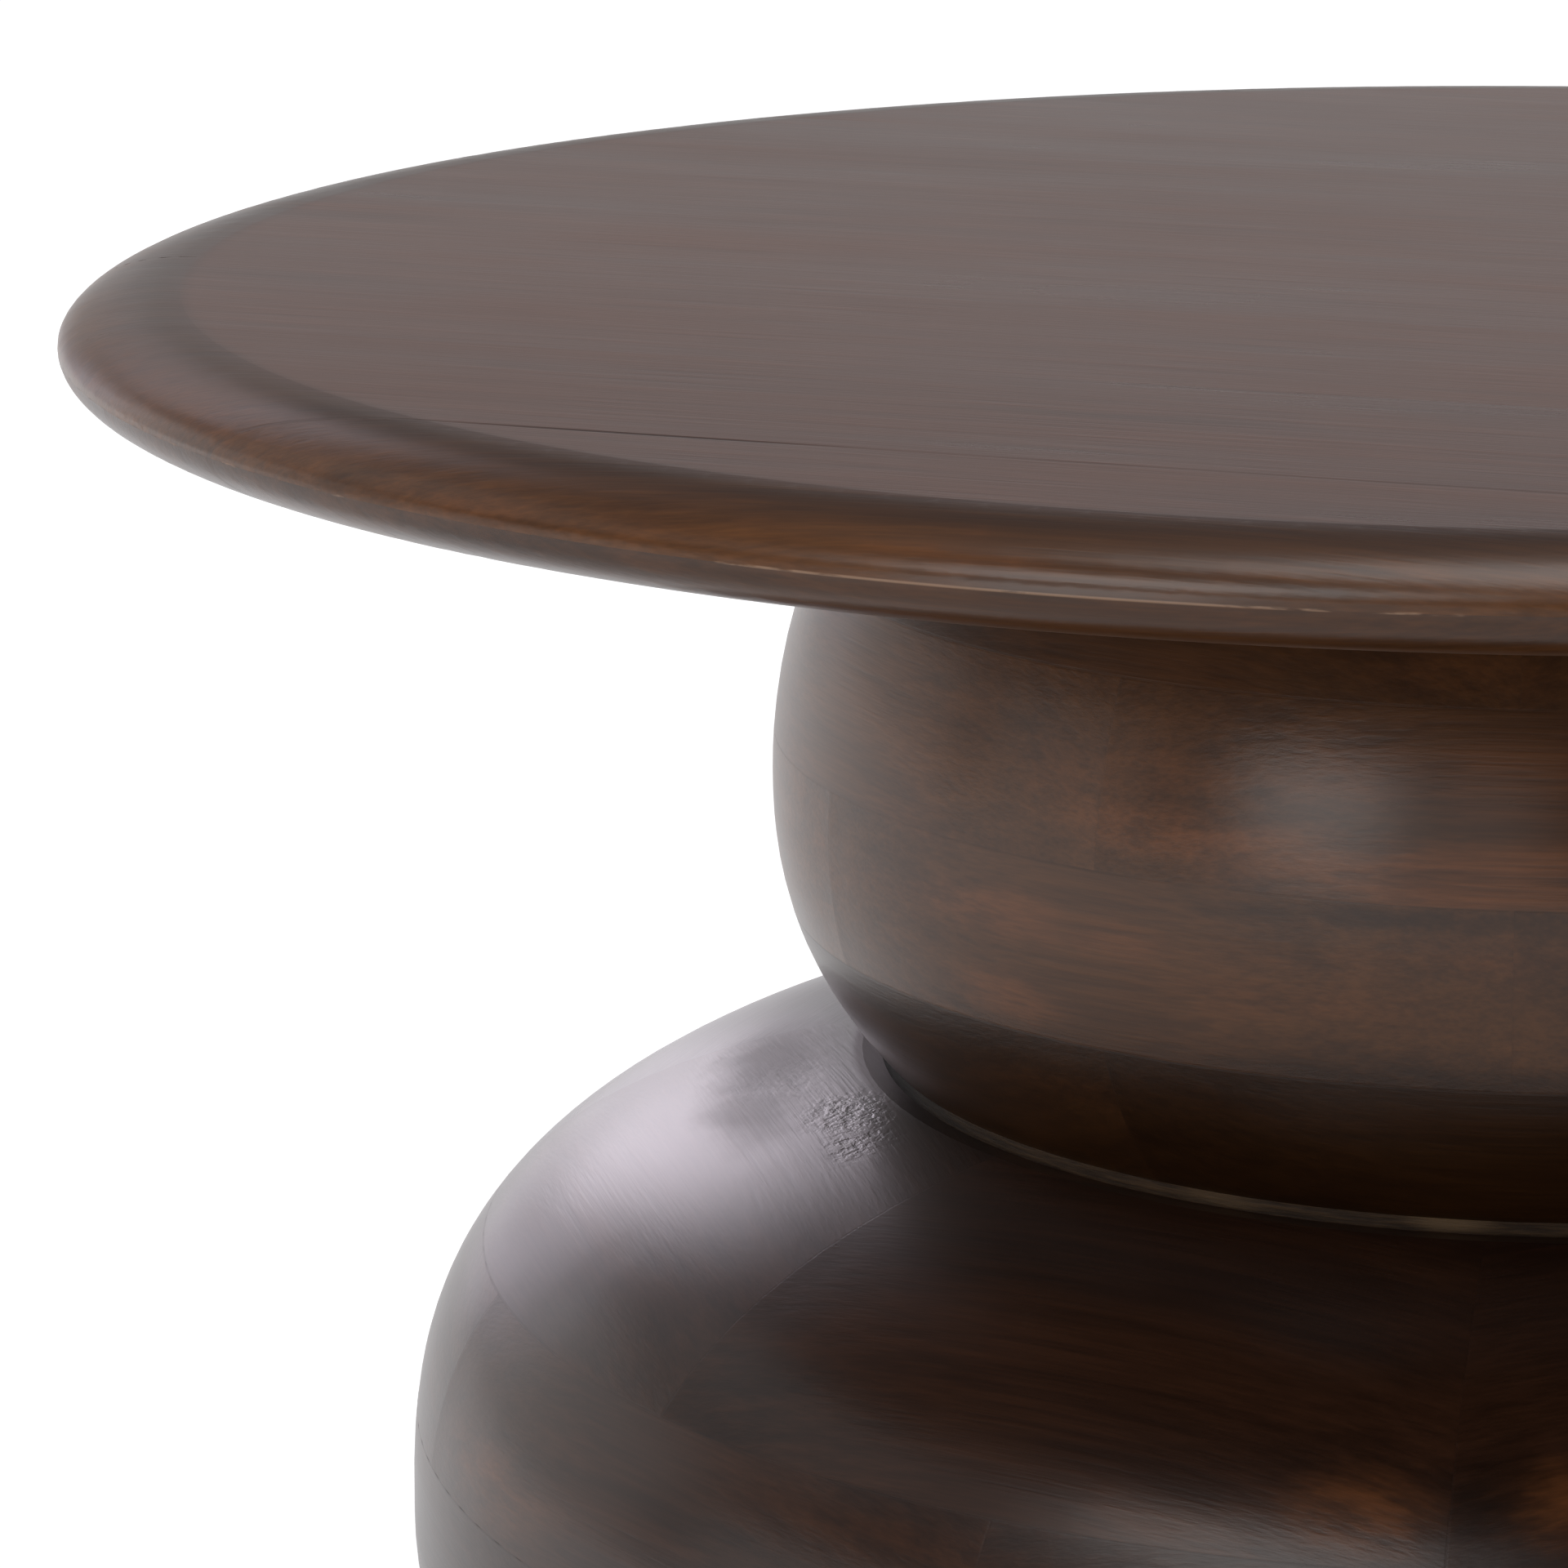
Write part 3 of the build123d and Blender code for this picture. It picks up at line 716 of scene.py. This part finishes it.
# painted shade: the top ring of the upper drum, under the table top, and its bottom ring, which
# faces down, are painted darker
PAINTED_SHADE_BY_RING = {"upper_drum_ring_1": 0.70, "upper_drum_ring_4": 0.30}
WEDGE_TONES = 0.2
# how far a wedge's own numbers shift it in the pattern, and where its pith lies from there
WEDGE_SHIFT = (3.0, 5.0, 2.0)
PITH_SPREAD, PITH_MIDDLE = (0.12, 0.0, 0.2), (0.08, 0.0, 0.3)
HAIRLINE = (0.0001, 0.0005)
JOINT_STRENGTH, LAYER_STRENGTH = 0.08, 0.12


def ring_finish(name, seed, wedges, first_joint, stains, tone, patches):
    """A ring of wedges, with its marks. Each wedge draws three chance numbers from its own lot."""
    material, tree, shader = new_material(name)
    place = object_place(tree)
    parts = parts_of(tree, place)
    step = 2.0 * math.pi / wedges
    azimuth = calc(tree, "ARCTAN2", parts["Y"], parts["X"])
    steps = calc(tree, "DIVIDE", calc(tree, "SUBTRACT", azimuth, first_joint), step)
    number = calc(tree, "FLOOR", steps)
    middle = calc(tree, "MULTIPLY_ADD", calc(tree, "ADD", number, 0.5), step, first_joint)
    local = turned_about(tree, place, calc(tree, "MULTIPLY", middle, -1.0))
    lot = calc(tree, "ADD", calc(tree, "FLOORED_MODULO", number, float(wedges)), seed * 20.0)
    draw = add_node(tree, "ShaderNodeTexWhiteNoise", {"W": lot}, noise_dimensions="1D")
    chance = draw.outputs["Color"]
    shift = calc_vector(tree, "MULTIPLY", chance, WEDGE_SHIFT)
    centred = calc_vector(tree, "SUBTRACT", chance, NOISE_MIDDLE)
    from_plank = calc_vector(tree, "MULTIPLY", centred, PITH_SPREAD)
    from_plank = calc_vector(tree, "ADD", from_plank, PITH_MIDDLE)

    in_step = calc(tree, "PINGPONG", calc(tree, "SUBTRACT", steps, number), 0.5)
    from_joint = calc(tree, "MULTIPLY", in_step, step)
    from_joint = calc(tree, "MULTIPLY", from_joint, distance_from_axis(tree, place))
    joint_line = band(tree, from_joint, *HAIRLINE, JOINT_STRENGTH, 0.0)
    low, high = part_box(name)
    from_top = calc(tree, "ABSOLUTE", calc(tree, "SUBTRACT", parts["Z"], high.z))
    from_foot = calc(tree, "ABSOLUTE", calc(tree, "SUBTRACT", parts["Z"], low.z))
    from_layer = calc(tree, "MINIMUM", from_top, from_foot)
    layer_line = band(tree, from_layer, *HAIRLINE, LAYER_STRENGTH, 0.0)
    lot_tone = add_node(tree, "ShaderNodeSeparateColor", {0: chance}).outputs[1]
    marks = {
        "stains": stains,
        "tone": calc(tree, "MULTIPLY_ADD", lot_tone, WEDGE_TONES, tone - WEDGE_TONES / 2),
        "patches": patches,
        "line": calc(tree, "MAXIMUM", joint_line, layer_line),
    }
    frayed = ragged(tree, place)
    for kind, table in SPOT_TABLES.items():
        if name in table:
            marks[kind] = together(tree, [spot(tree, frayed, *numbers) for numbers in table[name]])
    if "pitted" in marks:
        pits = noise(tree, place, PIT_STRETCH, detail=3.0, roughness=0.6)
        marks["pitted"] = calc(tree, "MULTIPLY", marks["pitted"], band(tree, pits, *PIT_BAND))
    if name in DUST_AND_SHEEN_LEDGE:
        lying = band(tree, parts["Z"], *(high.z - depth for depth in LEDGE_MARK_DEPTH))
        marks["dust_and_sheen"] = calc(tree, "MULTIPLY", lying, spot(tree, frayed, *DUST_AND_SHEEN_LEDGE[name]))
    pith = calc_vector(tree, "ADD", shift, from_plank)
    stained(tree, shader, calc_vector(tree, "ADD", local, shift), pith, marks)
    return material


def dress_drum(drum, rings, wedges, first_joint, seed, stains, patches):
    """Every other ring is turned by half a wedge, so that no two joints lie above each other."""
    for number in range(1, rings + 1):
        name = f"{drum}_ring_{number}"
        turn = math.pi / wedges if number % 2 == 0 else 0.0
        tone = PAINTED_SHADE_BY_RING.get(name, 1.0)
        joint = first_joint + turn
        dress(name, ring_finish(name, seed + number, wedges, joint, stains, tone, patches))


dress_drum("upper_drum", 4, UPPER_WEDGES, UPPER_JOINT, 0, UPPER_STAINS, UPPER_PATCHES)
dress_drum("lower_drum", 5, LOWER_WEDGES, LOWER_JOINT, 10, LOWER_STAINS, LOWER_PATCHES)
print("rings dressed")

# %% [markdown]
# ## Spacer and base board
# A thin disc keeps the drums apart. Only its edge shows, as an olive line in the crevice: end
# grain that took the stain but no polish. The base board closes the lower drum. Nobody sees it
# unless the table is turned over, so it has the same stain with little wiping.

# %% Spacer and base board
SPACER_STRETCH = (70.0, 70.0, 1100.0)
SPACER_DARK, SPACER_OLIVE = (0.020, 0.0100, 0.0044), (0.056, 0.030, 0.0125)
# the pale colour of the painted glints on the spacer's edge
PAINTED_GLINT_COLOUR = (0.20, 0.125, 0.062)
SPACER_RELIEF = 0.0004
# painted glints, pale spots on the edge: azimuth, radius, height, half width, half height, strength
PAINTED_GLINT_SPOTS = (
    (-97.0, 0.173, 0.2540, 0.014, 0.0030, 0.45),
    (-116.0, 0.173, 0.2535, 0.016, 0.0030, 0.20),
)
# the same, and half depth, for the painted shade in the crevice on the left
PAINTED_SHADE_PLACE = (-170.0, 0.173, 0.253, 0.11, 0.05, 0.9, 0.2)
BASE_BOARD_SHIFT = Vector((2.1, 3.3, 1.2))
BASE_BOARD_PITH = BASE_BOARD_SHIFT - Vector((0.0, 0.0, 0.2))


def spacer_finish():
    """Olive-brown edge with fibres along it, with painted glints in two places and painted shade on
    the left.
    """
    material, tree, shader = new_material("spacer_edge")
    place = object_place(tree)
    fibres = noise(tree, place, SPACER_STRETCH, detail=4.0, roughness=0.7)
    colour = mix_colour(tree, band(tree, fibres, 0.35, 0.7), SPACER_DARK, SPACER_OLIVE)
    # painted glints: two pale spots stand in for highlights on the edge
    wear_and_glints = together(tree, [spot(tree, place, *numbers) for numbers in PAINTED_GLINT_SPOTS])
    colour = mix_colour(tree, wear_and_glints, colour, PAINTED_GLINT_COLOUR)
    # painted shade: the edge is darkened on the left, where the crevice lies in shade
    unshaded = calc(tree, "SUBTRACT", 1.0, spot(tree, place, *PAINTED_SHADE_PLACE))
    colour = mix_colour(tree, 1.0, colour, greyed(tree, unshaded), "MULTIPLY")
    tree.links.new(colour, shader.inputs["Base Color"])
    add_relief(tree, shader, fibres, SPACER_RELIEF, 0.6)
    shader.inputs["Roughness"].default_value = 0.6
    shader.inputs["Specular IOR Level"].default_value = 0.2
    return material


def base_board_finish():
    """One wide plank, with its fibres along the table's X."""
    material, tree, shader = new_material("base_board")
    local = turned_about(tree, object_place(tree), math.radians(90.0))
    marks = {"stains": LOWER_STAINS, "tone": 0.9, "patches": 0.1, "dull": 0.5}
    stained(tree, shader, calc_vector(tree, "ADD", local, BASE_BOARD_SHIFT), BASE_BOARD_PITH, marks)
    return material


dress("spacer_disc", spacer_finish())
dress("base_board", base_board_finish())
print("spacer and base board dressed")

# %% [markdown]
# ## Plywood discs
# Bare birch plywood, hidden in the drums: pale streaky veneer on the faces, and the plies as
# thin dark and light stripes on the edges, about 1.4 mm each. The faces and the edges are told
# apart by the direction that the surface faces.

# %% Plywood
PLY_THICKNESS = 0.0014
VENEER_STRETCH = (8.0, 160.0, 8.0)
VENEER_RELIEF = 0.0003
VENEER_DARK, VENEER_PALE = (0.45, 0.31, 0.175), (0.60, 0.45, 0.28)
PLY_DARK, PLY_PALE = (0.22, 0.12, 0.055), (0.50, 0.36, 0.21)


def plywood_finish():
    """Streaky veneer where the surface faces up or down, and stripes of plies on the edges."""
    material, tree, shader = new_material("birch_plywood")
    place = object_place(tree)
    veneer = noise(tree, place, VENEER_STRETCH, detail=4.0, roughness=0.6)
    face = mix_colour(tree, band(tree, veneer, *TWO_TONES), VENEER_DARK, VENEER_PALE)
    parts = parts_of(tree, place)
    ply = calc(tree, "PINGPONG", calc(tree, "DIVIDE", parts["Z"], PLY_THICKNESS), 1.0)
    edge = mix_colour(tree, band(tree, ply, *TWO_TONES), PLY_DARK, PLY_PALE)
    normal = add_node(tree, "ShaderNodeNewGeometry").outputs["Normal"]
    facing = calc(tree, "ABSOLUTE", parts_of(tree, normal)["Z"])
    colour = mix_colour(tree, band(tree, facing, 0.4, 0.7), edge, face)
    tree.links.new(colour, shader.inputs["Base Color"])
    add_relief(tree, shader, veneer, VENEER_RELIEF, 0.3)
    shader.inputs["Roughness"].default_value = 0.6
    return material


plywood = plywood_finish()
for name in ("upper_head_disc", "upper_floor_disc", "lower_head_disc"):
    dress(name, plywood)
print("plywood dressed")

# %% [markdown]
# ## Metal
# Zinc plating is a cool grey with a faint bluish and yellowish bloom, a little duller where it is
# thick. The threaded inserts are turned brass. Both are metals all through, so they take their
# colour from the base colour and keep a moderate roughness.

# %% Zinc and brass
ZINC_DULL, ZINC_BRIGHT = (0.50, 0.51, 0.53), (0.66, 0.65, 0.62)
BRASS_DULL, BRASS_BRIGHT = (0.52, 0.37, 0.15), (0.72, 0.56, 0.28)
PLATING_BLOOM = (90.0, 90.0, 90.0)
TURNING_MARKS = (60.0, 60.0, 900.0)
METAL_GRAIN = (2400.0, 2400.0, 2400.0)
METAL_RELIEF = 0.00005
BLOOM_DULLNESS = 0.16


def metal_finish(name, dull_colour, bright_colour, roughness, bloom_stretch):
    """A metal whose colour and roughness vary together, with a very fine grain."""
    material, tree, shader = new_material(name)
    place = object_place(tree)
    bloom = noise(tree, place, bloom_stretch, detail=3.0, roughness=0.6)
    colour = mix_colour(tree, band(tree, bloom, *TWO_TONES), dull_colour, bright_colour)
    tree.links.new(colour, shader.inputs["Base Color"])
    bright = roughness - BLOOM_DULLNESS / 2
    dull = calc(tree, "MULTIPLY_ADD", bloom, BLOOM_DULLNESS, bright)
    tree.links.new(dull, shader.inputs["Roughness"])
    grain = noise(tree, place, METAL_GRAIN, detail=1.0)
    add_relief(tree, shader, grain, METAL_RELIEF, 0.3)
    shader.inputs["Metallic"].default_value = 1.0
    return material


zinc = metal_finish("zinc_plate", ZINC_DULL, ZINC_BRIGHT, 0.34, PLATING_BLOOM)
brass = metal_finish("turned_brass", BRASS_DULL, BRASS_BRIGHT, 0.3, TURNING_MARKS)
for name in ("top_screws", "floor_disc_screws", "base_screws", "joining_bolts", "joining_washers"):
    dress(name, zinc)
for name in ("joining_inserts", "leveller_inserts"):
    dress(name, brass)
print("metal dressed")

# %% [markdown]
# ## Nylon pads
# The pads that stand on the floor are moulded in black nylon, with the fine grain of the mould
# and a scuffed, greyer edge where they are pushed over the floor.

# %% Nylon pads
SCUFF_HEIGHT = 0.0014
SCUFF_STRETCH = (380.0, 380.0, 700.0)
MOULD_GRAIN = (1800.0, 1800.0, 1800.0)
MOULD_RELIEF = 0.00008
NYLON_BLACK, NYLON_SCUFFED = (0.022, 0.022, 0.024), (0.11, 0.11, 0.112)
NYLON_ROUGHNESS = 0.48


def nylon_finish():
    """Black nylon that is scuffed grey near the floor."""
    material, tree, shader = new_material("moulded_nylon")
    place = object_place(tree)
    height = parts_of(tree, place)["Z"]
    wear_and_glints = noise(tree, place, SCUFF_STRETCH, detail=3.0, roughness=0.65)
    near_floor = band(tree, height, 0.0, SCUFF_HEIGHT, 1.0, 0.0)
    scuffed = calc(tree, "MULTIPLY", near_floor, band(tree, wear_and_glints, 0.42, 0.62))
    colour = mix_colour(tree, scuffed, NYLON_BLACK, NYLON_SCUFFED)
    tree.links.new(colour, shader.inputs["Base Color"])
    dull = calc(tree, "MULTIPLY_ADD", scuffed, 0.2, NYLON_ROUGHNESS)
    tree.links.new(dull, shader.inputs["Roughness"])
    grain = noise(tree, place, MOULD_GRAIN, detail=2.0)
    add_relief(tree, shader, grain, MOULD_RELIEF, 0.5)
    return material


nylon = nylon_finish()
for number in range(1, 5):
    dress(f"leveller_pad_{number}", nylon)
print("pads dressed")

# %% [markdown]
# ## Levelling screws
# An M8 screw with a hexagon near its foot. The CAD model has a plain rod in its place. A thread
# is a notched outline that climbs as it turns, which is just what bmesh.ops.spin does with a
# lift: it sweeps one notch of the outline around the axis and up by one pitch each turn. Both
# ends are then cut flat and closed. The hexagon is a six-sided cylinder with eased edges.

# %% Thread
THREAD_PITCH = 0.00125
THREAD_RADIUS = 0.00398
THREAD_DEPTH = 0.00074
STEPS_PER_TURN = 24
# cuts leave points this close to the plane in place, and points this close are made one
CUT_SLACK = 0.000001
WELD_DISTANCE = 0.00001
# share of the pitch, share of the depth: flat root, flank, flat crest, flank
THREAD_OUTLINE = ((0.0, 0.0), (0.25, 0.0), (0.5625, 1.0), (0.6875, 1.0), (1.0, 0.0))


def add_thread(mesh, low, high):
    """A closed threaded rod about the Z axis, from low to high."""
    turns = math.ceil((high - low) / THREAD_PITCH) + 2
    start = low - THREAD_PITCH
    root = THREAD_RADIUS - THREAD_DEPTH
    verts = []
    for along, deep in THREAD_OUTLINE:
        point = (root + THREAD_DEPTH * deep, 0.0, start + THREAD_PITCH * along)
        verts.append(mesh.verts.new(point))
    edges = [mesh.edges.new(pair) for pair in zip(verts, verts[1:])]
    bmesh.ops.spin(
        mesh,
        geom=verts + edges,
        cent=(0.0, 0.0, 0.0),
        axis=(0.0, 0.0, 1.0),
        dvec=(0.0, 0.0, THREAD_PITCH / STEPS_PER_TURN),
        angle=2.0 * math.pi * turns,
        steps=STEPS_PER_TURN * turns,
        use_merge=False,
    )
    bmesh.ops.remove_doubles(mesh, verts=mesh.verts, dist=WELD_DISTANCE)
    for height, keep_above in ((low, True), (high, False)):
        bmesh.ops.bisect_plane(
            mesh,
            geom=mesh.verts[:] + mesh.edges[:] + mesh.faces[:],
            plane_co=(0.0, 0.0, height),
            plane_no=(0.0, 0.0, 1.0),
            dist=CUT_SLACK,
            clear_inner=keep_above,
            clear_outer=not keep_above,
        )
    open_edges = [edge for edge in mesh.edges if len(edge.link_faces) == 1]
    bmesh.ops.holes_fill(mesh, edges=open_edges, sides=0)


# %% Hexagon, neck and the whole screw
HEXAGON_SIDES = 6
HEXAGON_ACROSS = 0.014
HEXAGON_EASE = 0.0004
NECK_RADIUS = 0.0039
NECK_EASE = 0.0003
ROUND_SIDES = 40
# the three parts of the screw run this far into each other
OVERLAP = 0.001
stem_low, stem_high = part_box("leveller_stem_1")
PAD_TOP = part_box("leveller_pad_1")[1].z
BOARD_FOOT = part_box("base_board")[0].z
print("each stem reaches from", round(stem_low.z, 4), "to", round(stem_high.z, 4))


def add_prism(mesh, sides, radius, low, high, ease):
    """A closed prism about the Z axis with eased edges. radius is to its corners.

    A prism with many sides stands for a cylinder, so only the edges of its ends are eased.
    """
    made = bmesh.ops.create_cone(
        mesh,
        cap_ends=True,
        segments=sides,
        radius1=radius,
        radius2=radius,
        depth=high - low,
        matrix=Matrix.Translation((0.0, 0.0, (low + high) / 2)),
    )
    corners = set(made["verts"])
    edges = [edge for edge in mesh.edges if corners.issuperset(edge.verts)]
    if sides > HEXAGON_SIDES:
        edges = [edge for edge in edges if abs(edge.verts[0].co.z - edge.verts[1].co.z) < CUT_SLACK]
    bmesh.ops.bevel(
        mesh,
        geom=edges,
        offset=ease,
        affect="EDGES",
        segments=2,
        profile=0.5,
        material=-1,
    )


def corner_angle(node_name, middle):
    """Where a corner of the CAD hexagon points, so that the new one lies in the same place."""
    corners = [vert.co - middle for vert in nodes[node_name].data.vertices]
    farthest = max(corners, key=lambda corner: corner.x ** 2 + corner.y ** 2)
    return math.atan2(farthest.y, farthest.x)


def levelling_screw(number):
    """The whole screw in the place of its plain CAD stem."""
    stem = f"leveller_stem_{number}"
    low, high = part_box(stem)
    middle = Vector(((low.x + high.x) / 2, (low.y + high.y) / 2, 0.0))
    mesh = bmesh.new()
    corner_radius = HEXAGON_ACROSS / math.sqrt(3.0)
    add_thread(mesh, BOARD_FOOT - OVERLAP, high.z)
    add_prism(mesh, HEXAGON_SIDES, corner_radius, PAD_TOP, BOARD_FOOT, HEXAGON_EASE)
    add_prism(mesh, ROUND_SIDES, NECK_RADIUS, low.z, PAD_TOP + OVERLAP, NECK_EASE)
    turned = Matrix.Translation(middle) @ Matrix.Rotation(corner_angle(stem, middle), 4, "Z")
    bmesh.ops.transform(mesh, matrix=turned, verts=mesh.verts)
    bmesh.ops.recalc_face_normals(mesh, faces=mesh.faces)
    name = f"levelling_screw_{number}"
    data = bpy.data.meshes.new(name)
    mesh.to_mesh(data)
    mesh.free()
    data.materials.append(zinc)
    piece = bpy.data.objects.new(name, data)
    bpy.context.scene.collection.objects.link(piece)
    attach(piece, stem)
    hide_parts(stem)
    return piece


screws = [levelling_screw(number) for number in range(1, 5)]
print("levelling screws:", [len(screw.data.polygons) for screw in screws], "faces")

# %% [markdown]
# ## Pieces without a finish
# The pieces that have no material yet are printed.

# %% Pieces without a finish
undressed = [name for name, node in nodes.items() if not node.data.materials]
print("pieces without a finish:", undressed)
